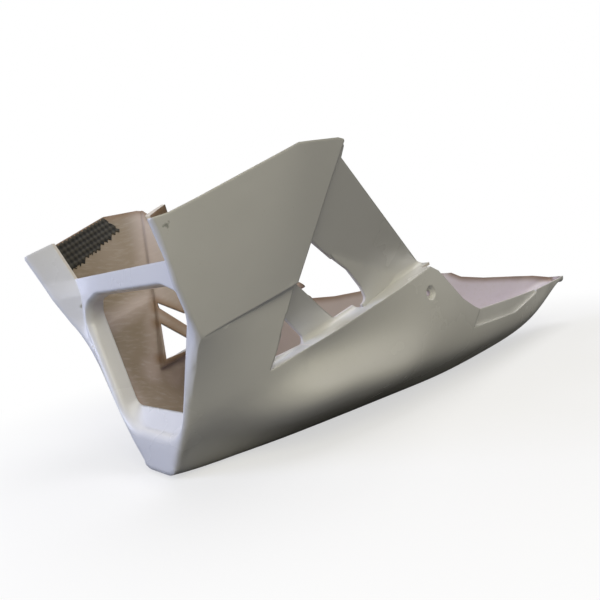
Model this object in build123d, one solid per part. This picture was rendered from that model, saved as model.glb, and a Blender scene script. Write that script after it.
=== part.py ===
from build123d import *
import math
import os

# Motorcycle belly pan: one glassfibre moulding and one carbon patch bonded inside it.
# Millimetres. X points to the front wheel, Y to the rider's left, Z up.
# The keel strip lies on Z = 0 and the pan is centred on X = 0, Y = 0.

# Laminate
WALL = 3.0                  # thickness of the moulding
TOP_Z = 300.0               # hull sections run up to here before they are trimmed

# Hull sections, nose to tail. Each row holds the station x, the (y, z) points of the left
# half (keel edge, bilge, chine, waist, ridge, crease) and the half width at TOP_Z.
HULL = [
    (435, (14, 22), (35, 38), (56, 57), (78, 80), (99, 104), (120, 125), 164),
    (390, (18, 11), (43, 27), (64, 52), (84, 80), (105, 108), (127, 133), 181),
    (347, (19, 4), (46, 22.5), (69, 50), (90, 82), (111, 112), (132, 137), 197),
    (300, (17, 0), (48, 22), (82, 54), (103, 84), (118, 112), (139.5, 150.7), 210),
    (268, (17, 0), (54, 18.5), (99, 55), (109.5, 83), (121, 108), (145, 160), 217),
    (235, (17, 0), (61, 17), (118, 63), (111, 88), (119.5, 106), (147, 169.7), 214),
    (180, (17, 0), (63, 16), (121, 62), (111.5, 89), (119, 112), (135, 170), 213),
    (110, (17, 0), (61, 16), (117, 55), (112.5, 88), (118.5, 126), (124, 175), 200),
    (50, (17, 0), (57, 16), (103, 48), (111, 85), (114.5, 130), (116, 175), 150),
    (-40, (17, 1), (50, 16), (84, 40), (94, 66), (98, 95), (99, 140), 112),
    (-130, (17, 8), (43, 20), (66, 38), (73.5, 57), (75, 82), (76, 120), 80),
    (-220, (16, 19), (33, 28), (46, 40), (50, 56), (51, 78), (51.5, 108), 52),
    (-300, (13, 43), (21, 47), (27, 54), (29.5, 64), (30.4, 78), (31, 100), 31),
    (-375, (4, 65), (9, 66.4), (11.4, 69.5), (12.2, 75), (12.7, 83), (13, 93), 13),
]
KEEL_ROUND_Y = 0.35         # share of the way to the bilge where the keel starts to turn up
KEEL_ROUND_Z = 0.12

# Nose: rows of z, outer edge x, flange width in y, inner face x and length of the edge rounding
NOSE = [
    (-20, 344, 9, 344, 6),
    (12, 347, 12, 347, 8),
    (30, 348, 20, 348, 9),
    (56, 348, 26, 348, 9),
    (84, 348, 26, 348, 9),
    (112, 348, 26, 348, 9),
    (137, 350, 16, 347, 9),
    (160, 361, 19, 346.5, 11),
    (186, 372, 33, 346, 12),
    (205, 378, 32, 346, 12),
    (247, 393, 26, 358.5, 12),
    (290, 407, 28, 371, 12),
    (320, 417, 30, 379, 12),
]
ROUND_PASS = 1.0            # the rounding runs this far out of the hull
BAR_TOP = 205.0             # upper edge of the crossbar
TAB_GAP_LOW = 123.0         # half gap between the two tabs at the crossbar
TAB_GAP_HIGH = 136.5        # half gap between the two tabs at TAB_TOP
TAB_TOP = 247.5             # inner upper corner of a tab
TAB_SPLIT = 158.0           # where tab top and blade top meet

# Mouth of the air duct: corner points (y, z) with corner radii, front crest and inner edge
MOUTH_CREST = [(76, 184.5, 40), (106, 175.5, 18), (114, 156, 18), (58, 43.5, 45)]
MOUTH_INNER = [(88, 182, 40), (109, 178, 10), (116.5, 164, 10), (70, 61, 16)]
MOUTH_CREST_X = 339.0
MOUTH_INNER_X = 325.0
MOUTH_LEAD = 8.5            # depth of the rounded crest
MOUTH_FLARE = 7.0           # width of the rounded crest
CREST_STEPS = 4
MOUTH_OPEN = 4.0            # the mouth runs this far past its inner edge, so that it is open

# Side pocket behind the blade, with the struts as its floor
BLADE_TIP = (272.0, 91.0)   # where blade edge and ridge meet, (x, z)
BLADE_LEAN = 0.305          # rearward run of the blade edge for each unit of height
RIDGE_RISE = 0.2522         # rise of the ridge line for each unit towards the tail
STRUT_PLANE = (-14.7, 0.2016, 0.6129)     # y = a + b * x + c * z
LEDGE_FILLET = 4.0          # radius between ledge and struts
VALLEY_FRONT = (201.6, 185.4)
VALLEY_REAR = (62.0, 143.8)
VALLEY_FOOT = (118.0, 100.0)
VALLEY_FLARE = 0.35         # outward flare of the rear strut below the valley line

# Windows between the struts, side view (x, z), left side and right side
WINDOW_R = 5.0
WINDOW_BITE = 1.0           # the windows reach this far into the step behind the blade
TIP_R = 1.8                 # corner radius of the right upper window with its narrow front slot
LEFT_UPPER = [(252, 170), (190, 129.7), (173, 119.5), (134, 129.5), (146, 145), (171, 166), (243, 205)]
LEFT_LOWER = [(274, 96), (211, 105), (263, 144.5)]
RIGHT_UPPER = [(257.5, 164.5), (226, 140.5), (212, 190), (171, 166), (146, 145), (134, 129.5), (173, 119.5),
               (217, 109), (257.5, 159.5)]
RIGHT_LOWER = [(282, 95), (228, 103), (268, 146)]

# Crease step across the blade
CREASE_FRONT = (342.0, 138.5)
CREASE_REAR = (240.0, 168.2)
CREASE_PLANE = [(342, 132.4, 138.5), (272, 114.2, 91), (251, 142, 165)]

# Upper outline in side view, nose to tail
BLADE_TOP = [(430, 236), (385, 236), (371, 238.4), (347, 246.6), (268, 276), (224, 278.3), (217, 277),
             (213, 272), (213.5, 263.5)]
LEFT_STRUT_END = (27, 152.5)
LEFT_RIM = [(26, 142), (12, 128), (-17, 102), (-43, 88), (-60, 81), (-255, 72), (-340, 73.5), (-372, 74.5), (-400, 74.5)]
RIGHT_STRUT_END = (80, 160)
RIGHT_RIM = [(71, 151), (37, 123.6), (0, 119), (-37, 118), (-172, 118.6), (-192, 115.8), (-207, 107),
             (-246, 98), (-300, 89.5), (-340, 83), (-372, 74.5), (-400, 74.5)]
SHOULDER_CUT = [(43, 149.5), (27, 142), (20, 135), (20, 170), (43, 170)]
SHOULDER_Y = 100.0          # the shoulder corner is cut outboard of this

# Recessed panel on the left side of the tail, side view
RECESS = [(-40, 63), (-163, 57), (-255, 68), (-262, 95), (-68, 95)]
RECESS_DEPTH = 4.0

# Side bolt holes
BOLT_X = 47.0
BOLT_Z = 120.0
BOLT_R = 3.25
DIMPLE_FLOOR_Y = 109.0
DIMPLE_FLOOR_R = 5.5
DIMPLE_SLOPE = 0.6          # growth of the dimple radius for each unit outwards

# Carbon patch inside the right blade, side view
PATCH = [(360, 232), (360, 241.5), (347, 246.2), (269, 275.2), (253, 256.5), (336.5, 214), (356, 208)]
PATCH_T = 0.8

FAR = 400.0                 # reach of the cutting prisms
HALF_PASS = 10.0            # the left half tools run this far past the middle plane


def inset_half(points, d):
    """Left half section moved inwards by d, square to its own line."""
    out = [(points[0][0], points[0][1] + d)]
    for i in range(1, len(points)):
        before = points[i - 1]
        after = points[min(i + 1, len(points) - 1)]
        run = Vector(after[0] - before[0], after[1] - before[1]).normalized()
        y, z = points[i]
        out.append((y - d * run.Y, z + d * run.X))
    return out


def section(row, d, shift, centre):
    """Closed left half of one hull section."""
    x = row[0] + shift
    keel = row[1]
    bilge = row[2]
    turn = (keel[0] + KEEL_ROUND_Y * (bilge[0] - keel[0]), keel[1] + KEEL_ROUND_Z * (bilge[1] - keel[1]))
    half = inset_half([keel, turn] + list(row[2:7]) + [(row[7], TOP_Z)], d)
    side = [Vector(x, y, z) for y, z in half[:-1]]
    top = Vector(x, half[-1][0], TOP_Z)
    top_mid = Vector(x, centre, TOP_Z)
    keel_mid = Vector(x, centre, half[0][1])
    return Wire([
        Edge.make_line(keel_mid, side[0]),
        Edge.make_spline(side),
        Edge.make_line(side[-1], top),
        Edge.make_line(top, top_mid),
        Edge.make_line(top_mid, keel_mid),
    ])


def hull(d):
    """Left half of the solid hull, its skin and tail end moved inwards by d."""
    centre = 0.0 if d == 0 else -5.0
    wires = [section(row, d, 0, centre) for row in HULL[:-1]]
    wires.append(section(HULL[-1], d, d, centre))
    return Solid.make_loft(wires)


def side_prism(points, y0, y1, grow=0.0, radius=0.0):
    """Side view outline (x, z), grown and with rounded corners, swept from y0 to y1."""
    wire = Wire.make_polygon([Vector(x, y0, z) for x, z in points])
    if grow > 0:
        wire = wire.offset_2d(grow, Kind.INTERSECTION)
    if radius > 0:
        wire = wire.fillet_2d(radius, wire.vertices())
    return Solid.extrude(Face(wire), Vector(0, y1 - y0, 0))


def front_prism(points, x0, x1):
    """Front view outline (y, z) swept from x0 to x1."""
    wire = Wire.make_polygon([Vector(x0, y, z) for y, z in points])
    return Solid.extrude(Face(wire), Vector(x1 - x0, 0, 0))


def outside(plane, d):
    """Everything outboard of the plane y = a + b * x + c * z after it moves inwards by d."""
    a, b, c = plane
    shift = d * (1 + b * b + c * c) ** 0.5
    corners = [(-420, -50), (420, -50), (420, 360), (-420, 360)]
    wire = Wire.make_polygon([Vector(x, a + b * x + c * z - shift, z) for x, z in corners])
    return Solid.extrude(Face(wire), Vector(0, 2 * FAR, 0))


def plane_through(p, q, r):
    """Coefficients of y = a + b * x + c * z through three points."""
    n = (Vector(*q) - Vector(*p)).cross(Vector(*r) - Vector(*p))
    b = -n.X / n.Y
    c = -n.Z / n.Y
    return (p[1] - b * p[0] - c * p[2], b, c)


def blade_edge(z):
    return (BLADE_TIP[0] - BLADE_LEAN * (z - BLADE_TIP[1]), z)


def ridge(x):
    return (x, BLADE_TIP[1] + RIDGE_RISE * (BLADE_TIP[0] - x))


def skin_point(skin, x, z):
    """Point of the left hull skin at (x, z) and the rearward direction along it, in plan view."""
    level = min(max(z, NOSE[1][0]), NOSE[-2][0])
    hits = skin.find_intersection_points(Axis((x, 1, level), (0, 1, 0)))
    point, normal = max(hits, key=lambda hit: hit[0].Y)
    return Vector(x, point.Y), Vector(-abs(normal.Y), abs(normal.X)).normalized()


def nose_row(row, d, skin):
    """Plan view outline in front of the left nose edge: flange, rounding and the way out of the hull."""
    z, xe, w, xi, length = row
    corner, back = skin_point(skin, xe, z)
    along = Vector(xi - xe, -w).normalized()
    angle = math.radians(along.get_angle(back))
    inner = Vector(xi - d, corner.Y - w)
    corner = corner + (along + back) * (d / math.sin(angle))
    reach = max(length - d / math.tan(angle / 2), 2.0)
    start = corner + along * reach
    end = corner + back * reach + Vector(0.2, 1) * ROUND_PASS
    front = 600.0
    line = [Vector(p.X, p.Y, z) for p in (inner, start, corner, end)]
    return Wire([
        Edge.make_line(Vector(front, -HALF_PASS, z), Vector(inner.X, -HALF_PASS, z)),
        Edge.make_line(Vector(inner.X, -HALF_PASS, z), line[0]),
        Edge.make_line(line[0], line[1]),
        Edge.make_bezier(line[1], line[2], line[3]),
        Edge.make_line(line[3], Vector(end.X, FAR, z)),
        Edge.make_line(Vector(end.X, FAR, z), Vector(front, FAR, z)),
        Edge.make_line(Vector(front, FAR, z), Vector(front, -HALF_PASS, z)),
    ])


def nose_cutter(d):
    """Everything in front of the left nose faces after they move back by d."""
    skin = hull(0)
    return Solid.make_loft([nose_row(row, d, skin) for row in NOSE], ruled=True)


def mouth_loop(corners, x, d):
    """Rounded left half outline of the duct mouth at x, grown by d."""
    pts = [(-HALF_PASS, corners[0][1])] + [(y, z) for y, z, r in corners] + [(-HALF_PASS, corners[-1][1])]
    wire = Wire.make_polygon([Vector(x, y, z) for y, z in pts])
    for y, z, r in corners:
        near = [v for v in wire.vertices() if abs(v.Y - y) < 0.01 and abs(v.Z - z) < 0.01]
        wire = wire.fillet_2d(r, near)
    if d > 0:
        wire = wire.offset_2d(d, Kind.INTERSECTION)
    return wire


def mouth_cutter(d):
    """Air duct mouth with a rounded crest, its wall moved outwards by d."""
    loops = [mouth_loop(MOUTH_CREST, MOUTH_CREST_X + 70, MOUTH_FLARE)]
    for step in range(CREST_STEPS, -1, -1):
        turn = math.pi / 2 * step / CREST_STEPS
        x = MOUTH_CREST_X + (MOUTH_LEAD - d) * math.sin(turn)
        loops.append(mouth_loop(MOUTH_CREST, x, MOUTH_FLARE - (MOUTH_FLARE - d) * math.cos(turn)))
    loops.append(mouth_loop(MOUTH_INNER, MOUTH_INNER_X, d))
    if d == 0:
        loops.append(mouth_loop(MOUTH_INNER, MOUTH_INNER_X - MOUTH_OPEN, d))
    return Solid.make_loft(loops, ruled=True)


def pocket_prism(d):
    """Side view of the pocket swept outwards, grown by d."""
    return side_prism([BLADE_TIP, blade_edge(340), (-60, 340), ridge(-60)], 0, FAR, d)


def pocket_cutter(d):
    """Space outboard of the struts, its walls moved outwards by d."""
    tool = pocket_prism(d) & outside(STRUT_PLANE, d)
    lip = tool.edges().filter_by(Axis((0, 0, 0), (-1, 0, RIDGE_RISE)), tolerance=25).sort_by(Axis.Z)
    foot_line = min(lip, key=lambda e: e.center().Y)
    tool = tool.fillet(LEDGE_FILLET + d, [foot_line])
    slope = (VALLEY_FRONT[1] - VALLEY_REAR[1]) / (VALLEY_FRONT[0] - VALLEY_REAR[0])
    level = VALLEY_REAR[1] - slope * VALLEY_REAR[0]
    a, b, c = STRUT_PLANE
    flare = (a + VALLEY_FLARE * level, b + VALLEY_FLARE * slope, c - VALLEY_FLARE)
    foot = side_prism([VALLEY_FRONT, (0, level), (-60, 100), VALLEY_FOOT], 0, FAR)
    return tool - (foot - outside(flare, d))


def crease_cutter(d):
    """Lower blade panel set back below the crease."""
    outline = [CREASE_FRONT, CREASE_REAR, (262, 80)]
    plane = plane_through(*CREASE_PLANE)
    return side_prism(outline, 0, FAR, d) & outside(plane, d)


def dimple_cutter(d):
    """Dimple round a side bolt hole."""
    height = 12.0
    radius = DIMPLE_FLOOR_R + d
    seat = Plane(origin=(BOLT_X, DIMPLE_FLOOR_Y - d, BOLT_Z), x_dir=(1, 0, 0), z_dir=(0, 1, 0))
    return Solid.make_cone(radius, radius + DIMPLE_SLOPE * height, height, seat)


def recess_cutter(d):
    """Recessed tail panel, its walls moved by d."""
    return side_prism(RECESS, 0, FAR, d) - hull(RECESS_DEPTH + d)


def window(outline, radius, room):
    """Cutter for one window, which stays behind the blade."""
    return side_prism(outline, 0, FAR, 0, radius) & pocket_prism(WINDOW_BITE) & room


def top_cutter(strut_end, rim):
    """Everything above the upper outline, apart from the tabs."""
    above = BLADE_TOP + [strut_end] + rim + [(-400, 360), (430, 360)]
    tab_room = Solid.make_box(80, TAB_SPLIT + 10, 200, Plane((345, -10, 100)))
    return side_prism(above, -10, FAR) - tab_room


def tab_cutters():
    """The gap between the two tabs and the slanted tab tops."""
    gap = [(-10, BAR_TOP), (TAB_GAP_LOW, BAR_TOP), (TAB_GAP_HIGH, TAB_TOP), (150, 300), (-10, 300)]
    tops = [(TAB_SPLIT, 238), (TAB_GAP_HIGH, TAB_TOP), (100, 262), (100, 320), (TAB_SPLIT, 320)]
    return [front_prism(gap, 290, 460), front_prism(tops, 340, 460)]


def main():
    room = hull(WALL)
    outer = hull(0)
    inner = room
    for tool in (nose_cutter, mouth_cutter, pocket_cutter, crease_cutter, dimple_cutter):
        outer = outer - tool(0)
        inner = inner - tool(WALL)

    bolt = Solid.make_cylinder(BOLT_R, 60, Plane(origin=(BOLT_X, 80, BOLT_Z), z_dir=(0, 1, 0)))
    half = outer - inner
    for tool in tab_cutters() + [bolt, side_prism(SHOULDER_CUT, SHOULDER_Y, FAR)]:
        half = half - tool

    right = half - top_cutter(RIGHT_STRUT_END, RIGHT_RIM)
    right = right - window(RIGHT_UPPER, TIP_R, room) - window(RIGHT_LOWER, WINDOW_R, room)

    left = half - top_cutter(LEFT_STRUT_END, LEFT_RIM)
    left = left - window(LEFT_UPPER, WINDOW_R, room) - window(LEFT_LOWER, WINDOW_R, room)
    backing = recess_cutter(WALL) & inner
    left = (left + (backing - top_cutter(LEFT_STRUT_END, LEFT_RIM))) - recess_cutter(0)

    shell = left + right.mirror(Plane.XZ)
    patch = (room & side_prism(PATCH, 20, FAR)) - room.moved(Location(Vector(0, -PATCH_T, 0)))
    patch = patch.mirror(Plane.XZ)

    box = shell.bounding_box()
    to_origin = Location(Vector(-(box.min.X + box.max.X) / 2, 0, -box.min.Z))
    os.makedirs("parts", exist_ok=True)
    export_step(shell.moved(to_origin), "parts/pan_shell.step")
    export_step(patch.moved(to_origin), "parts/carbon_patch.step")
    print("pan_shell", len(shell.solids()), round(shell.volume), box)
    print("carbon_patch", len(patch.solids()), round(patch.volume))
    print("moved by", to_origin.position)


if __name__ == "__main__":
    main()
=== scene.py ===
# %% [markdown]
# # A motorcycle belly pan
# The pan is one glassfibre moulding with a piece of carbon cloth bonded inside it. The CAD
# solids already have the right shape, so this lesson keeps that shape and works on the finish:
# white gelcoat on the side that lay in the mould, raw fibre on the side that was laid up by hand.

# %% Load the frame
import math

import bmesh
import bpy
from mathutils import Matrix, Vector
from mathutils.bvhtree import BVHTree
from mathutils.kdtree import KDTree


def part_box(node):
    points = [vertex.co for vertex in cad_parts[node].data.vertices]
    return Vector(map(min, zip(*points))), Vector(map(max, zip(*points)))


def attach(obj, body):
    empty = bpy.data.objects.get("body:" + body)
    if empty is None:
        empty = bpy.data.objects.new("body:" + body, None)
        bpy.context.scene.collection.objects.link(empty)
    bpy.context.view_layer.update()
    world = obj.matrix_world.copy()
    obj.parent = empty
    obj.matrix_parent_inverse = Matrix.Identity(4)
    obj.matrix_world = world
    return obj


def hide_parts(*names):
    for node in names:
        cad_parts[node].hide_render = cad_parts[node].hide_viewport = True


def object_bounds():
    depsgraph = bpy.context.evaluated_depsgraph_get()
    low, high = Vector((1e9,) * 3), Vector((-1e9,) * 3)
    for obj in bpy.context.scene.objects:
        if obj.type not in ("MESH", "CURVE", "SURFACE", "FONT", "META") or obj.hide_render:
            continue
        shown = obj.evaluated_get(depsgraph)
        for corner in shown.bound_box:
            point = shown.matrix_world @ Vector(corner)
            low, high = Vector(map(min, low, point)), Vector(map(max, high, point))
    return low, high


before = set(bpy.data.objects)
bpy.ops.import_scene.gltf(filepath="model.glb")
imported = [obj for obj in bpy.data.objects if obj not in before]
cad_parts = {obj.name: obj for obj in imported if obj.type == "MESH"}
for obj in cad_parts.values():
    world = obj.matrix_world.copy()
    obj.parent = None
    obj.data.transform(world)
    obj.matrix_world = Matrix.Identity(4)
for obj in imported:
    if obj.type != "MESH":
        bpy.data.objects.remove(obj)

MM = 0.001
SQUARE_CM = 1e-4
cad_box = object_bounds()
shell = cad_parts["pan_shell"]
cad_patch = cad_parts["carbon_patch"]
size = [round((high - low) / MM) for low, high in zip(*cad_box)]
print("pan of", size, "mm,", len(shell.data.polygons), "faces in the moulding")

# %% [markdown]
# A moulding has two sides. One way to tell them apart is to paint faces by hand, but a script
# can ask a question instead: does the face look away from the space that the engine fills?
# Behind the nose that space is a line along the keel. At the nose everything that looks
# forwards was in the mould, and so was everything that looks into the mouth of the duct.

# %% Say which way is out
NOSE_X = 312 * MM             # from here forwards the duct mouth and the front flanges begin
LIP_FLOOR = 36 * MM           # underside of the duct mouth's lip
LIP_HALF = 60 * MM            # half width of the lip at that height
LIP_SPREAD = 0.5              # growth of the half width for each unit of height
LIP_TOP = 188 * MM            # top of the duct mouth, under the crossbar
DUCT_Z = 115 * MM             # middle of the duct
DUCT_LEAD = 60 * MM           # forward share of the way out at the lip
CORE_Z = 40 * MM              # height of the engine space behind the nose
CORE_TAIL = (-100 * MM, 75 * MM)   # from this x the space rises to this height at the tail tip
CORE_LEAD = 120 * MM          # the space lies this far ahead, so the step behind a blade looks out


def way_out(point):
    """Direction from the engine space to a point of the moulding."""
    if point.x > NOSE_X:
        rise = point.z - LIP_FLOOR
        if 0 < rise and abs(point.y) < LIP_HALF + LIP_SPREAD * rise and point.z < LIP_TOP:
            return Vector((DUCT_LEAD, -point.y, DUCT_Z - point.z))
        return Vector((1, 0, 0))
    start, tail_height = CORE_TAIL
    share = max(0, (start - point.x) / (start - cad_box[0][0]))
    height = CORE_Z + share * (tail_height - CORE_Z)
    return Vector((-CORE_LEAD, point.y, point.z - height))


rear_corner = way_out(Vector(cad_box[0])).normalized()
print("way out at the rear lower corner:", [round(part, 2) for part in rear_corner])

# %% [markdown]
# The mesh comes as patches with sharp borders. The question is put to each face, weighted by
# its area, and each patch votes as a whole. A narrow patch may be a trimmed edge, so the
# borders are noted too: they tell which patches lie side by side.

# %% Let the patches vote
EDGE_WIDTH = 5.5 * MM         # a patch narrower than this may be a trimmed edge
BORDER_GRID = 0.01 * MM       # borders this close together are one and the same
GELCOAT, LAMINATE, EDGE = 0, 1, 2


def patches_of(mesh):
    """Groups of faces that share corners."""
    left = set(mesh.faces)
    while left:
        group = [left.pop()]
        for face in group:
            for corner in face.verts:
                for other in corner.link_faces:
                    if other in left:
                        left.remove(other)
                        group.append(other)
        yield group


def border_key(edge):
    """The same key for an edge and its twin in the next patch."""
    middle = (edge.verts[0].co + edge.verts[1].co) / 2
    return tuple(round(value / BORDER_GRID) for value in middle)


def looks_out(face):
    """1 for a face that looks away from the engine space, else -1."""
    return 1 if face.normal.dot(way_out(face.calc_center_median())) > 0 else -1


shell_mesh = bmesh.new()
shell_mesh.from_mesh(shell.data)
patches = list(patches_of(shell_mesh))
votes, narrow, borders = [], [], {}
for number, group in enumerate(patches):
    vote = sum(face.calc_area() * looks_out(face) for face in group)
    rim = [edge for face in group for edge in face.edges if edge.is_boundary]
    length = sum(edge.calc_length() for edge in rim)
    area = sum(face.calc_area() for face in group)
    votes.append(GELCOAT if vote > 0 else LAMINATE)
    narrow.append(2 * area < EDGE_WIDTH * length)
    for edge in rim:
        borders.setdefault(border_key(edge), []).append(number)
print(len(patches), "patches,", sum(narrow), "of them narrow")

# %% [markdown]
# A narrow patch that lies between the mould side and the laid-up side is a trimmed edge. A
# narrow patch with only one of them around it belongs to that side, whatever its own vote was.

# %% Find the trimmed edges
neighbours = [set() for group in patches]
for sharing in borders.values():
    for number in sharing:
        neighbours[number].update(other for other in sharing if not narrow[other])
finish_of = []
for number in range(len(patches)):
    kinds = {votes[other] for other in neighbours[number] if other != number}
    if narrow[number] and len(kinds) == 2:
        finish_of.append(EDGE)
    elif narrow[number] and kinds:
        finish_of.append(kinds.pop())
    else:
        finish_of.append(votes[number])
areas = [0, 0, 0]
for number, group in enumerate(patches):
    areas[finish_of[number]] += sum(face.calc_area() for face in group)
    for face in group:
        face.material_index = finish_of[number]
print("gelcoat, laminate and edge in square cm:", [round(area / SQUARE_CM) for area in areas])

# %% [markdown]
# The CAD mesh has long thin triangles, and where two of its surfaces meet at a slight angle
# the gloss would show a hard line that a hand-finished mould doesn't have. So the mesh is
# copied, joined up along the borders of its patches and cut into small triangles.

# %% Cut the mesh finer
JOIN = 0.002 * MM             # corners this close together become one
STEP = 9 * MM                 # an edge longer than this is cut in two
CUT_ROUNDS = 6
TRIANGLE = 3

bmesh.ops.remove_doubles(shell_mesh, verts=shell_mesh.verts, dist=JOIN)
for cut_round in range(CUT_ROUNDS):
    long_edges = [edge for edge in shell_mesh.edges if edge.calc_length() > STEP]
    if not long_edges:
        break
    bmesh.ops.subdivide_edges(shell_mesh, edges=long_edges, cuts=1)
    wide_faces = [face for face in shell_mesh.faces if len(face.verts) > TRIANGLE]
    bmesh.ops.triangulate(shell_mesh, faces=wide_faces)
for face in shell_mesh.faces:
    face.smooth = True
print("moulding cut into", len(shell_mesh.faces), "faces")

# %% [markdown]
# Edges that are meant to be crisp are marked sharp, and their corners stay where they are. Then
# the lower panel of each blade is relaxed: round after round, each free corner moves half of
# the way to the middle of its neighbours. Spots along trimmed edges and along folds are kept
# for later: resin stains the trimmed edges, and the folds get a painted highlight.

# %% Mark crisp edges and relax the blade panels
CRISP = math.radians(24)      # a fold sharper than this stays crisp
MAT_CRISP = math.radians(75)  # but fibre mat bends softly into all but the sharpest folds
SPOT_SHARES = (0, 0.25, 0.5, 0.75)    # places of the spots along an edge
RELAX_ROUNDS = 14
RELAX_SHARE = 0.5             # share of the way to the neighbours that one round goes
BLADE_PANEL = ((225, 350), (90, 165), (80, 172))    # x, distance from the middle plane and z, mm

held = set()
trims, folds = [], []
for edge in shell_mesh.edges:
    sides = {face.material_index for face in edge.link_faces}
    fold = edge.calc_face_angle(math.pi)
    if len(sides) == 2 or fold > (MAT_CRISP if sides == {LAMINATE} else CRISP):
        edge.smooth = False
        held.update(edge.verts)
    first, last = edge.verts[0].co, edge.verts[1].co
    spots = [first.lerp(last, share) for share in SPOT_SHARES]
    if EDGE in sides:
        trims += spots
    elif sides == {LAMINATE} and fold > CRISP:
        folds += spots


def on_blade_panel(spot):
    """True in the zone of the lower blade panel, on either side."""
    values = (spot.x / MM, abs(spot.y) / MM, spot.z / MM)
    return all(low < value < high for value, (low, high) in zip(values, BLADE_PANEL))


free = [vert for vert in shell_mesh.verts if vert not in held and on_blade_panel(vert.co)]
for relax_round in range(RELAX_ROUNDS):
    bmesh.ops.smooth_vert(shell_mesh, verts=free, factor=RELAX_SHARE,
                          use_axis_x=True, use_axis_y=True, use_axis_z=True)
print(len(held), "corners held and", len(free), "relaxed of", len(shell_mesh.verts))

# %% [markdown]
# A finish can only use what the mesh carries. How near each corner lies to a trimmed edge or to
# a fold is stored on it as a number from 0 to 1, ready to serve as a mask. The refined mesh
# then takes the place of the CAD moulding.

# %% Put the refined moulding in place
TRIM_REACH = 16 * MM          # how far resin stains spread from a trimmed edge
FOLD_HIGHLIGHT_REACH = 22 * MM          # how far the painted highlight spreads from a fold

pan_mesh = bpy.data.meshes.new("belly_pan")
shell_mesh.to_mesh(pan_mesh)
shell_mesh.free()


def store_nearness(name, spots, reach):
    """Keeps on each corner how near it lies to the spots: 1 on a spot, 0 from reach on."""
    tree = KDTree(len(spots))
    for number, spot in enumerate(spots):
        tree.insert(spot, number)
    tree.balance()
    gaps = [tree.find(vert.co)[2] for vert in pan_mesh.vertices]
    layer = pan_mesh.attributes.new(name, "FLOAT", "POINT")
    layer.data.foreach_set("value", [max(0, 1 - gap / reach) for gap in gaps])


store_nearness("near trim", trims, TRIM_REACH)
store_nearness("painted fold highlight", folds, FOLD_HIGHLIGHT_REACH)
pan = bpy.data.objects.new("belly_pan", pan_mesh)
bpy.context.scene.collection.objects.link(pan)
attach(pan, "root")
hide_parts("pan_shell")
print("moulding in place with", len(trims), "spots on trimmed edges and", len(folds), "on folds")

# %% [markdown]
# Every finish here is a small graph of shader nodes. A helper that makes a node, sets its
# plain values and links its inputs keeps the graphs short enough to read.

# %% A helper for material graphs
MIX_FIRST, MIX_SECOND, MIX_RESULT = 6, 7, 2    # colour sockets of a mix node
ROLL_SAMPLES = 6              # rays with which a rolled edge looks around


class Graph:
    """A material with its node tree and a short way to add nodes."""

    def __init__(self, name):
        self.material = bpy.data.materials.new(name)
        self.material.use_nodes = True
        self.tree = self.material.node_tree
        self.shader = self.tree.nodes["Principled BSDF"]

    def add(self, kind, settings=None, **inputs):
        """A node with settings and inputs. i0, i1 and so on are inputs by number, not by name."""
        node = self.tree.nodes.new("ShaderNode" + kind)
        for key, value in (settings or {}).items():
            setattr(node, key, value)
        for key, value in inputs.items():
            counted = key[0] == "i" and key[1:].isdigit()
            self.put(node, int(key[1:]) if counted else key, value)
        return node

    def put(self, node, socket, value):
        """Links an output to a socket, or sets a plain value on it."""
        if isinstance(value, bpy.types.NodeSocket):
            self.tree.links.new(value, node.inputs[socket])
        else:
            node.inputs[socket].default_value = value

    def set(self, **values):
        """Inputs of the main shader, with _ for each space in a name."""
        for key, value in values.items():
            self.put(self.shader, key.replace("_", " "), value)

    def place(self):
        """Where the shaded point lies."""
        return self.add("NewGeometry").outputs["Position"]

    def noise(self, scale, detail=3.0, rough=0.5, where=None):
        """Grey noise over the object, scale in bumps per metre."""
        where = where or self.place()
        node = self.add("TexNoise", Vector=where, Scale=scale, Detail=detail, Roughness=rough)
        return node.outputs["Fac"]

    def ramp(self, value, low, high, out_low=0.0, out_high=1.0):
        """Maps low..high to out_low..out_high with soft ends."""
        node = self.add("MapRange", {"interpolation_type": "SMOOTHSTEP"}, Value=value)
        limits = {"From Min": low, "From Max": high, "To Min": out_low, "To Max": out_high}
        for key, number in limits.items():
            node.inputs[key].default_value = number
        return node.outputs["Result"]

    def blend(self, share, first, second):
        """Colour that goes from first to second."""
        node = self.add("Mix", {"data_type": "RGBA"})
        self.put(node, "Factor", share)
        for socket, colour in ((MIX_FIRST, first), (MIX_SECOND, second)):
            linked = isinstance(colour, bpy.types.NodeSocket)
            self.put(node, socket, colour if linked else (*colour, 1))
        return node.outputs[MIX_RESULT]

    def math(self, work, first, second=0.0):
        """Result of a sum, a product or another operation."""
        node = self.add("Math", {"operation": work})
        self.put(node, 0, first)
        self.put(node, 1, second)
        return node.outputs[0]

    def rounded(self, radius):
        """Normal that rolls softly over the sharp borders of the mesh."""
        return self.add("Bevel", {"samples": ROLL_SAMPLES}, Radius=radius).outputs["Normal"]


print("helper for finishes ready")

# %% [markdown]
# Gelcoat is a thick white resin sprayed into the polished mould first. It is glossy, a little
# wavy where the fibres print through, and this pan has handling dust and a few dark scuffs at
# the top of the left blade. The moulded corners are a few millimetres round, and rounder low
# down: a bevelled normal gives them that roll without a change to the mesh.

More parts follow.
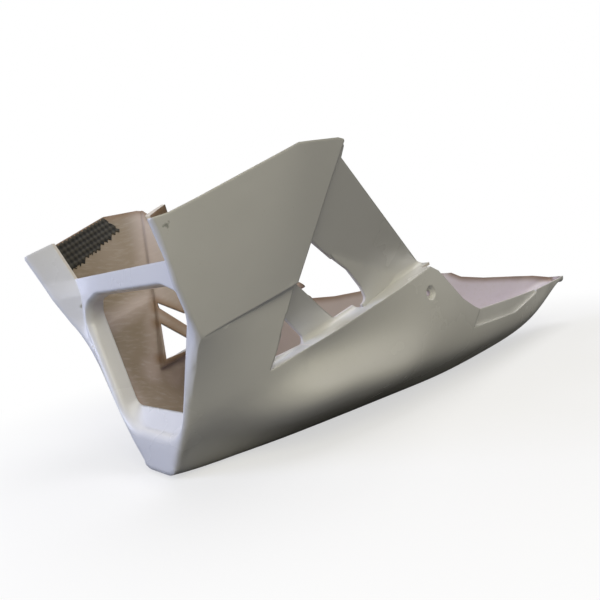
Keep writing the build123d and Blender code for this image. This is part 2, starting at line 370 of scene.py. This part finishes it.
# %% Gelcoat
CLEAN_WHITE, DUSTY_WHITE = (0.73, 0.73, 0.735), (0.70, 0.70, 0.70)
SPECK_TONE, SCUFF_TONE = (0.45, 0.42, 0.38), (0.12, 0.13, 0.11)
GEL_IOR = 1.5                 # refraction of clear resin
SCUFFS = [                    # x, y, z and size, mm
    (371, 152, 240.5, 9),
    (370, 159, 233, 7),
    (368.5, 164.5, 229.5, 7),
    (367, 168, 231, 6.5),
]
SCUFF_FADE = 2.5              # width of a scuff's soft border, mm
SCUFF_WOBBLE = 8 * MM         # how far noise draws that border in
SCUFF_SHARE = 0.6             # how far a scuff covers the white
ROLL_HEIGHTS = (60 * MM, 25 * MM)     # between these heights the corners get rounder
ROLL_RADII = (2.5 * MM, 9 * MM)       # radius above and below

gel = Graph("white gelcoat")
dust = gel.noise(scale=9, detail=5)
base = gel.blend(gel.ramp(dust, 0.3, 0.75), CLEAN_WHITE, DUSTY_WHITE)
speck = gel.noise(scale=650, detail=2)
base = gel.blend(gel.ramp(speck, 0.70, 0.76, out_low=0, out_high=0.25), base, SPECK_TONE)
for x, y, z, radius in SCUFFS:
    centre = (x * MM, y * MM, z * MM)
    away = gel.add("VectorMath", {"operation": "DISTANCE"}, i0=gel.place(), i1=centre)
    wobble = gel.math("MULTIPLY", gel.noise(scale=420, detail=4, rough=0.7), SCUFF_WOBBLE)
    near = gel.math("ADD", away.outputs["Value"], wobble)
    scuffed = gel.ramp(near, radius * MM, (radius - SCUFF_FADE) * MM, 0, SCUFF_SHARE)
    base = gel.blend(scuffed, base, SCUFF_TONE)
gel.set(Base_Color=base, Roughness=gel.ramp(dust, 0.25, 0.8, out_low=0.22, out_high=0.30))
height = gel.add("SeparateXYZ", Vector=gel.place()).outputs["Z"]
roll = gel.rounded(gel.ramp(height, *ROLL_HEIGHTS, *ROLL_RADII))
ripple = gel.noise(scale=60, detail=2)
waves = gel.add("Bump", Strength=0.06, Distance=0.4 * MM, Height=ripple, Normal=roll)
gel.set(Normal=waves.outputs["Normal"], IOR=GEL_IOR)
print("gelcoat with", len(gel.tree.nodes), "nodes")

# %% [markdown]
# Inside, the laid-up fibre shows through clear resin: tan and olive where the mat is thin,
# pink-white where it is dry, rust brown where resin pooled along trimmed edges. Along the folds
# a lighter pink is painted in as a highlight, for the light that they catch. The masks that
# were stored on the mesh say where the trimmed edges and the folds are.

# %% Raw laminate
RESIN_DARK, RESIN_LIGHT = (0.215, 0.165, 0.105), (0.29, 0.23, 0.175)
DRIER_TONE, PALE_TONE = (0.56, 0.495, 0.485), (0.71, 0.66, 0.74)
# the fold tone is a painted highlight, lighter than the mat itself
STRAND_TONE, FOLD_HIGHLIGHT_TONE, STAIN_TONE = (0.60, 0.55, 0.53), (0.66, 0.55, 0.56), (0.24, 0.14, 0.075)
DRY_MAT = (0.315, 0.225)      # the mat turns from resin-rich to drier between these x, m
PALE_TAIL = (0.0, -0.13)      # and to pale between these
CLOUD_SHIFT = 0.1             # how far clouds in the mat shift those borders, m
CLOUD_STAIN = 0.5             # how much they add to the stains
STRAND_SCALE, STRAND_TURN = (60, 400, 160), (0.5, 0.3, 0.8)
MAT_ROLL = 5 * MM             # radius with which mat bends over an edge

lam = Graph("raw laminate")
cloud = lam.noise(scale=7, detail=4, rough=0.55)
streak = lam.add("Mapping", Vector=lam.place(), Scale=STRAND_SCALE, Rotation=STRAND_TURN)
strand = lam.noise(scale=1.0, detail=3, rough=0.6, where=streak.outputs["Vector"])
along = lam.add("SeparateXYZ", Vector=lam.place()).outputs["X"]
patchy = lam.math("ADD", along, lam.math("MULTIPLY", cloud, CLOUD_SHIFT))
resin = lam.blend(lam.ramp(cloud, 0.35, 0.65), RESIN_DARK, RESIN_LIGHT)
mat_colour = lam.blend(lam.ramp(patchy, *DRY_MAT), resin, DRIER_TONE)
mat_colour = lam.blend(lam.ramp(patchy, *PALE_TAIL), mat_colour, PALE_TONE)
stranded = lam.ramp(strand, 0.45, 0.75, out_low=0, out_high=0.2)
mat_colour = lam.blend(stranded, mat_colour, STRAND_TONE)
# painted highlight: near a fold the mat is made lighter and pinker, as if lit
fold = lam.add("Attribute", {"attribute_name": "painted fold highlight"}).outputs["Fac"]
fold_highlight = lam.ramp(fold, 0.0, 0.9, out_low=0, out_high=0.3)
mat_colour = lam.blend(fold_highlight, mat_colour, FOLD_HIGHLIGHT_TONE)
trim = lam.add("Attribute", {"attribute_name": "near trim"}).outputs["Fac"]
trim = lam.math("ADD", trim, lam.math("MULTIPLY", cloud, CLOUD_STAIN))
stained = lam.ramp(trim, 0.55, 1.3, out_low=0, out_high=0.8)
mat_colour = lam.blend(stained, mat_colour, STAIN_TONE)
lam.set(Base_Color=mat_colour)
lam.set(Roughness=lam.ramp(strand, 0.3, 0.7, out_low=0.38, out_high=0.6))
bend = lam.rounded(MAT_ROLL)
fibres = lam.add("Bump", Strength=0.35, Distance=0.5 * MM, Height=strand, Normal=bend)
lam.set(Normal=fibres.outputs["Normal"])
print("laminate with", len(lam.tree.nodes), "nodes")

# %% [markdown]
# Where the pan was cut to its outline the saw left a dull, dusty edge in which the layers
# show as fine lines. The three finishes go on to the moulding in the order of their numbers.

# %% Trimmed edge
SAWN_DARK, SAWN_LIGHT = (0.58, 0.53, 0.51), (0.73, 0.71, 0.71)
LAYER_SCALE = (300, 1500, 900)

cut = Graph("trimmed edge")
layers = cut.add("Mapping", Vector=cut.place(), Scale=LAYER_SCALE)
dusty = cut.noise(scale=1.0, detail=3, rough=0.6, where=layers.outputs["Vector"])
cut.set(Base_Color=cut.blend(dusty, SAWN_DARK, SAWN_LIGHT), Roughness=0.75)
lines = cut.add("Bump", Strength=0.3, Distance=0.3 * MM, Height=dusty)
cut.set(Normal=lines.outputs["Normal"])

for graph in (gel, lam, cut):
    pan.data.materials.append(graph.material)
print("moulding wears", [material.name for material in pan.data.materials])

# %% [markdown]
# The carbon patch is a plain weave laid on the bias, so its free edge is a row of small
# teeth. A flat plate with a pattern would look painted, so the cloth is woven here. First comes
# its layout: a grid that runs with the tows, at 45 degrees to the blade's upper edge, and lines
# that are cast through the grid on to the CAD patch and the wall behind it.

# %% Lay out the cloth
TOW = 4.5 * MM                # width of one tow
BIAS = math.radians(45)       # turn of the warp against the blade's upper edge
CAST_Y = -60 * MM             # the lines start here, between the middle plane and the wall
BLADE_TOP_RUN = Vector((78, -29)).normalized()    # upper edge of the blade, side view, mm
LOWER_EDGE = [Vector((248.2, 256.6)) * MM, Vector((331.7, 214.1)) * MM]    # free edge, side view

edge_length = (LOWER_EDGE[1] - LOWER_EDGE[0]).length
edge_run = (LOWER_EDGE[1] - LOWER_EDGE[0]).normalized()
edge_down = Vector((edge_run.y, -edge_run.x))


def tree_of(node):
    """A node's mesh, ready for lines to be cast on to it."""
    corners = [vert.co for vert in node.data.vertices]
    return BVHTree.FromPolygons(corners, [face.vertices for face in node.data.polygons])


def drop(tree, x, z):
    """Where a line towards the right wall meets a node."""
    return tree.ray_cast(Vector((x, CAST_Y, z)), Vector((0, -1, 0)))[0]


wall_tree, patch_tree = tree_of(shell), tree_of(cad_patch)
patch_low, patch_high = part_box("carbon_patch")
origin = Vector(((patch_low[0] + patch_high[0]) / 2, (patch_low[2] + patch_high[2]) / 2))
warp = Matrix.Rotation(BIAS, 2) @ BLADE_TOP_RUN
weft = Vector((-warp.y, warp.x))


def fits(x, z):
    """True on the CAD patch and in the teeth that hang below its lower edge."""
    if drop(patch_tree, x, z):
        return True
    below = (Vector((x, z)) - LOWER_EDGE[0]).dot(edge_down)
    beside = (Vector((x, z)) - LOWER_EDGE[0]).dot(edge_run)
    return 0 < below < TOW and 0 < beside < edge_length


def on_cloth(s, t):
    """Place in the side view of a point s tows along the warp and t along the weft."""
    spot = origin + (warp * s + weft * t) * TOW
    return spot.x, spot.y


print("cloth laid out along a free edge of", round(edge_length / MM), "mm")

# %% [markdown]
# Now the weaving. Each square where two tows cross gets a small grid of faces, and a product of
# two sine waves lets each tow rise over one neighbour and dive under the next. The tow
# coordinates are stored on the mesh, because the finish needs them again.

# %% Weave the cloth
TOW_STEPS = 6                 # mesh steps across one tow
TOW_RISE = 0.25 * MM          # half the height of the weave
CLOTH_LIFT = 0.55 * MM        # middle of the cloth over the wall
WALL_Y = -138 * MM            # the wall of the right blade lies outboard of this
HALF_TOW = 0.5

cloth = bmesh.new()
weave_map = cloth.loops.layers.uv.new("tows")
knots = {}


def knot(i, j):
    """Corner of the cloth mesh at tow coordinates i and j, in steps."""
    if (i, j) not in knots:
        s, t = i / TOW_STEPS, j / TOW_STEPS
        x, z = on_cloth(s, t)
        foot = fits(x, z) and drop(wall_tree, x, z)
        rise = TOW_RISE * math.sin(math.pi * s) * math.sin(math.pi * t)
        on_wall = foot and foot.y < WALL_Y
        knots[i, j] = on_wall and cloth.verts.new(foot + Vector((0, CLOTH_LIFT + rise, 0)))
    return knots[i, j]


def weave_crossing(s, t):
    """Faces of the square in which warp s and weft t cross."""
    for i in range(s * TOW_STEPS, (s + 1) * TOW_STEPS):
        for j in range(t * TOW_STEPS, (t + 1) * TOW_STEPS):
            ring = [(i, j), (i + 1, j), (i + 1, j + 1), (i, j + 1)]
            corners = [knot(*step) for step in ring]
            if all(corners):
                face = cloth.faces.new(corners)
                face.smooth = True
                for loop, step in zip(face.loops, ring):
                    loop[weave_map].uv = (step[0] / TOW_STEPS, step[1] / TOW_STEPS)


tow_count = math.ceil((patch_high[0] - patch_low[0]) / TOW)
for s in range(-tow_count, tow_count):
    for t in range(-tow_count, tow_count):
        if drop(patch_tree, *on_cloth(s + HALF_TOW, t + HALF_TOW)):
            weave_crossing(s, t)
loose = [vert for vert in cloth.verts if not vert.link_faces]
bmesh.ops.delete(cloth, geom=loose, context="VERTS")
bmesh.ops.recalc_face_normals(cloth, faces=cloth.faces)
print("cloth of", len(cloth.faces), "faces on", len(knots), "knots")

# %% [markdown]
# The woven surface has no thickness yet. A modifier gives it some, equally to both sides, and
# the cloth then takes the place of the CAD patch.

# %% Put the cloth in place
cloth_mesh = bpy.data.meshes.new("carbon cloth")
cloth.to_mesh(cloth_mesh)
cloth.free()
carbon = bpy.data.objects.new("carbon_cloth", cloth_mesh)
bpy.context.scene.collection.objects.link(carbon)
backing = carbon.modifiers.new("cloth thickness", "SOLIDIFY")
backing.thickness = CLOTH_LIFT
backing.offset = 0
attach(carbon, "root")
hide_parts("carbon_patch")
print("cloth in place,", round(backing.thickness / MM, 2), "mm thick")

# %% [markdown]
# Carbon is nearly black, and what tells warp from weft is the way each bundle of fibres throws
# the light back. Here that light is painted into the colour: a lighter painted sheen where a tow
# lies on top and a darker painted shade where it dives under, with the roughness changing too.
# The tow coordinates stored on the mesh say which of the two lies on top.

# %% Carbon finish
# painted sheen and shade: the upper tow is lighter and the lower one darker
UNDER_TOW_SHADE, OVER_TOW_SHEEN = (0.004, 0.004, 0.0035), (0.05, 0.045, 0.036)
HAIR_TONE = (0.06, 0.055, 0.043)
HAIR_STRETCH = (1, 18, 1)     # fibres are long along the warp and fine across it

weave = Graph("carbon weave")
tows = weave.add("UVMap", {"uv_map": "tows"}).outputs["UV"]
split = weave.add("SeparateXYZ", Vector=tows)
turns = [weave.math("MULTIPLY", split.outputs[axis], math.pi) for axis in "XY"]
over = weave.math("MULTIPLY", *[weave.math("SINE", turn) for turn in turns])
stretched = weave.add("Mapping", Vector=tows, Scale=HAIR_STRETCH).outputs["Vector"]
hair = weave.add("TexNoise", Vector=stretched, Scale=2.0).outputs["Fac"]
# painted sheen and shade across each crossing of the weave
painted_sheen_tone = weave.blend(weave.ramp(over, -0.75, 0.75), UNDER_TOW_SHADE, OVER_TOW_SHEEN)
hairy = weave.ramp(hair, 0.4, 0.7, out_low=0, out_high=0.35)
painted_sheen_tone = weave.blend(hairy, painted_sheen_tone, HAIR_TONE)
sheen = weave.ramp(over, -1, 1, out_low=0.55, out_high=0.40)
weave.set(Base_Color=painted_sheen_tone, Roughness=sheen, Specular_IOR_Level=0.25)
carbon.data.materials.append(weave.material)
print("carbon with", len(weave.tree.nodes), "nodes")

# %% [markdown]
# The pan stands on a plain pale floor. The camera sees the floor as white, with a soft shadow
# near the pan. Light that bounces meets a greyer floor, so the belly of the pan stays in shade
# as it does outdoors.

# %% Floor
FLOOR_HALF = 6.0              # half the width of the floor, m
BOUNCE_GREY = 0.16            # grey that bounced light meets
PALE_GREY = 0.9               # grey that takes the shadow
SHADOW_RANGE = (0.3, 0.75)    # the shadow fades out between these distances, m
SHADOW_SHARE = 0.4            # how much of it shows near the pan


def seen(graph_tree):
    """1 for rays from the camera, else 0."""
    return graph_tree.nodes.new("ShaderNodeLightPath").outputs["Is Camera Ray"]


ground = Graph("pale floor")
ground.tree.nodes.remove(ground.shader)
grey = ground.add("BsdfDiffuse", Color=(BOUNCE_GREY, BOUNCE_GREY, BOUNCE_GREY, 1))
pale = ground.add("BsdfDiffuse", Color=(PALE_GREY, PALE_GREY, PALE_GREY, 1))
glow = ground.add("Emission", Color=(1, 1, 1, 1), Strength=1.0)
away = ground.add("VectorMath", {"operation": "LENGTH"}, i0=ground.place()).outputs["Value"]
shade = ground.ramp(away, *SHADOW_RANGE, out_low=SHADOW_SHARE, out_high=0.0)
white = ground.add("MixShader", Fac=shade, i1=glow.outputs[0], i2=pale.outputs[0])
both = ground.add("MixShader", Fac=seen(ground.tree), i1=grey.outputs[0], i2=white.outputs[0])
ground.tree.links.new(both.outputs[0], ground.tree.nodes["Material Output"].inputs["Surface"])

bpy.ops.mesh.primitive_plane_add(size=2 * FLOOR_HALF, location=(0, 0, cad_box[0][2]))
floor = bpy.context.object
floor.name = "floor"
floor.data.materials.append(ground.material)
print("floor at", round(cad_box[0][2] / MM, 2), "mm")

# %% [markdown]
# The sky works in the same way: white to the camera, and a weak warm grey to all other light.
# A bright sky would light the pan from every side and take away its shade.

# %% Sky
SKY = (0.84, 0.80, 0.72)
SKY_STRENGTH = 0.22

sky = bpy.data.worlds.new("studio")
bpy.context.scene.world = sky
sky.use_nodes = True
sky_tree = sky.node_tree
ambient = sky_tree.nodes["Background"]
ambient.inputs["Color"].default_value = (*SKY, 1)
ambient.inputs["Strength"].default_value = SKY_STRENGTH
plain_white = sky_tree.nodes.new("ShaderNodeBackground")
plain_white.inputs["Color"].default_value = (1, 1, 1, 1)
chosen = sky_tree.nodes.new("ShaderNodeMixShader")
sky_tree.links.new(seen(sky_tree), chosen.inputs[0])
sky_tree.links.new(ambient.outputs[0], chosen.inputs[1])
sky_tree.links.new(plain_white.outputs[0], chosen.inputs[2])
sky_tree.links.new(chosen.outputs[0], sky_tree.nodes["World Output"].inputs["Surface"])
print("sky of strength", SKY_STRENGTH)

# %% [markdown]
# Daylight comes from the front, a little to the right of the pan and from above, through a
# large cool panel: it falls on the nose and leaves the near side in shade. A warm, weaker
# panel high behind the viewer opens up that shade, and a third one at the ceiling lights what
# looks up.

# %% Lamps
PANELS = [                    # name, place in m, width in m, power in W, colour
    ("daylight", (2.0, -0.85, 0.85), 1.4, 36, (0.65, 0.715, 1.0)),
    ("room light", (1.0, 1.7, 1.45), 1.6, 24, (1.0, 0.95, 0.74)),
    ("ceiling", (-0.6, 0.2, 2.3), 1.8, 21, (0.98, 0.97, 1.0)),
]

middle = Vector([(low + high) / 2 for low, high in zip(*cad_box)])
for name, place, width, power, colour in PANELS:
    lamp = bpy.data.lights.new(name, "AREA")
    lamp.shape = "DISK"
    lamp.size = width
    lamp.energy = power
    lamp.color = colour
    holder = bpy.data.objects.new(name, lamp)
    bpy.context.scene.collection.objects.link(holder)
    holder.location = place
    holder.rotation_euler = (middle - Vector(place)).to_track_quat("-Z", "Y").to_euler()
print(len(PANELS), "panels aimed at", [round(value, 3) for value in middle])

# %% [markdown]
# The camera stands low in front of the left side, about two thirds of a metre away from the
# nose. It leans over by about ten degrees, so level lines climb to the right in the picture.

# %% Camera
EYE = Vector((602.2, 619.2, 197.6)) * MM
LOOK = Vector((-0.6001, -0.7960, -0.0793))
LEAN = math.radians(10.35)
FOCAL_PX, IMAGE_PX, SENSOR_MM = 680, 600, 36
CLIP_START = 10 * MM          # nothing nearer than this is drawn

viewer = bpy.data.cameras.new("camera")
viewer.sensor_width = SENSOR_MM
viewer.lens = FOCAL_PX / IMAGE_PX * SENSOR_MM
viewer.clip_start = CLIP_START
camera = bpy.data.objects.new("camera", viewer)
bpy.context.scene.collection.objects.link(camera)
level = LOOK.to_track_quat("-Z", "Y").to_matrix()
leaning = level @ Matrix.Rotation(-LEAN, 3, "Z")
camera.matrix_world = Matrix.Translation(EYE) @ leaning.to_4x4()
bpy.context.scene.camera = camera
bpy.context.scene.view_settings.view_transform = "Standard"
print("camera with a lens of", round(viewer.lens, 1), "mm")

# %% [markdown]
# The dressed model must not outgrow the CAD model. That is the whole scene.

# %% End
print("scene ready")
